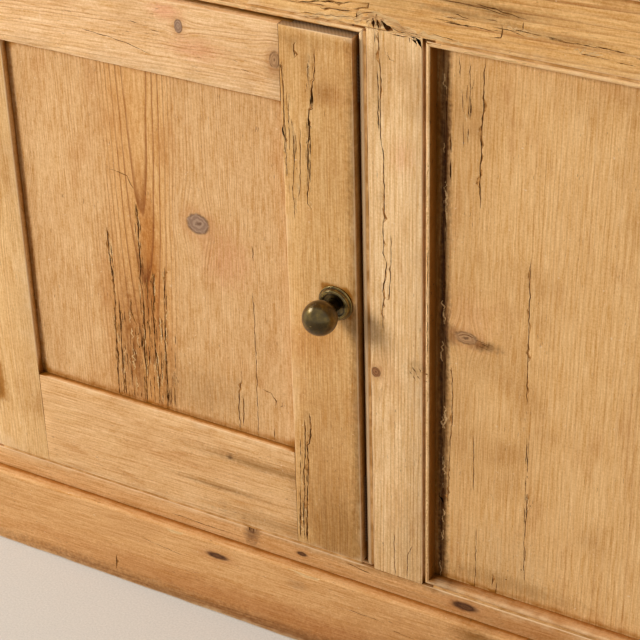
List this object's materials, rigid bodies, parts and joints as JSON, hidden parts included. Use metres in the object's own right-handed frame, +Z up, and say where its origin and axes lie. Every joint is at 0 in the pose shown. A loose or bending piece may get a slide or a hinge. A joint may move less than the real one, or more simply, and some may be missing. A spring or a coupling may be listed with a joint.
{
  "type": "kitchen dresser",
  "caption": "Pine kitchen dresser: cupboard base with panelled doors on turning knobs, a fixed centre panel, drawers above, and an open plate rack with cornice.",
  "frame": {"origin": "on the floor under the middle of the whole dresser, knobs included", "axes": "+X to the dresser's right as one faces it, +Y to its back, +Z up"},
  "size_m": [1.57, 0.532, 2.0524],
  "materials": {
    "pine_waxed": "old stripped pine, waxed, satin, with worn arrises, knots and shakes",
    "pine_panel": "old stripped pine panel, waxed, a little greyer than the frame",
    "pine_inside": "bare sawn and planed pine, dry",
    "aged_brass": "old brass, olive brown with brighter worn places",
    "latch_iron": "dark iron, dull",
    "hinge_steel": "old steel, darkened, dull"
  },
  "bodies": {
    "carcass": {"post_left": "pine_waxed", "post_right": "pine_waxed", "drawer_posts": "pine_waxed", "middle_rail": "pine_waxed", "bottom_rail": "pine_waxed", "top_rail": "pine_waxed", "end_stile_left": "pine_waxed", "end_stile_right": "pine_waxed", "centre_panel": "pine_panel", "plinth": "pine_waxed", "plinth_blocks": "pine_inside", "cupboard_floor": "pine_inside", "back_boards": "pine_inside", "side_left": "pine_waxed", "side_right": "pine_waxed", "cupboard_shelf": "pine_inside", "shelf_bearers": "pine_inside", "back_rail": "pine_inside", "drawer_runners": "pine_inside", "drawer_guides": "pine_inside", "drawer_kickers": "pine_inside", "door_stops": "pine_inside", "drawer_stops": "pine_inside", "top_board": "pine_waxed", "rack_shelves": "pine_waxed", "rack_top": "pine_waxed", "rack_side_left": "pine_waxed", "rack_side_right": "pine_waxed", "rack_back_boards": "pine_inside", "rack_frieze": "pine_waxed", "cornice": "pine_waxed", "hinge_frame_leaves": "hinge_steel", "hinge_pins": "hinge_steel"},
    "door_left": {"hinge_door_leaves_left": "hinge_steel", "door_left_top_rail": "pine_waxed", "door_left_bottom_rail": "pine_waxed", "door_left_hinge_stile": "pine_waxed", "door_left_lock_stile": "pine_waxed", "door_left_panel": "pine_panel", "rose_left": "aged_brass"},
    "door_right": {"hinge_door_leaves_right": "hinge_steel", "door_right_hinge_stile": "pine_waxed", "door_right_lock_stile": "pine_waxed", "door_right_top_rail": "pine_waxed", "door_right_bottom_rail": "pine_waxed", "door_right_panel": "pine_panel", "rose_right": "aged_brass"},
    "knob_latch_left": {"knob_left": "aged_brass", "latch_left": "latch_iron"},
    "knob_latch_right": {"knob_right": "aged_brass", "latch_right": "latch_iron"},
    "drawer_left": {"drawer_left_front": "pine_waxed", "drawer_left_box": "pine_inside", "drawer_left_knobs": "aged_brass"},
    "drawer_centre": {"drawer_centre_front": "pine_waxed", "drawer_centre_box": "pine_inside", "drawer_centre_knobs": "aged_brass"},
    "drawer_right": {"drawer_right_front": "pine_waxed", "drawer_right_box": "pine_inside", "drawer_right_knobs": "aged_brass"}
  },
  "joints": [
    {"name": "door_left_swing", "type": "hinge", "parent": "carcass", "child": "door_left", "pos_m": [-0.685, -0.2245, 0.3919], "axis": [0, 0, -1], "range_deg": [0, 165]},
    {"name": "door_right_swing", "type": "hinge", "parent": "carcass", "child": "door_right", "pos_m": [0.685, -0.2245, 0.3919], "axis": [0, 0, 1], "range_deg": [0, 165]},
    {"name": "knob_left_turn", "type": "hinge", "parent": "door_left", "child": "knob_latch_left", "pos_m": [-0.269, -0.221, 0.405], "axis": [0, -1, 0], "range_deg": [0, 90]},
    {"name": "knob_right_turn", "type": "hinge", "parent": "door_right", "child": "knob_latch_right", "pos_m": [0.269, -0.221, 0.405], "axis": [0, 1, 0], "range_deg": [0, 90]},
    {"name": "drawer_left_slide", "type": "slide", "parent": "carcass", "child": "drawer_left", "axis": [0, -1, 0], "range_m": [0, 0.32]},
    {"name": "drawer_centre_slide", "type": "slide", "parent": "carcass", "child": "drawer_centre", "axis": [0, -1, 0], "range_m": [0, 0.32]},
    {"name": "drawer_right_slide", "type": "slide", "parent": "carcass", "child": "drawer_right", "axis": [0, -1, 0], "range_m": [0, 0.32]}
  ]
}
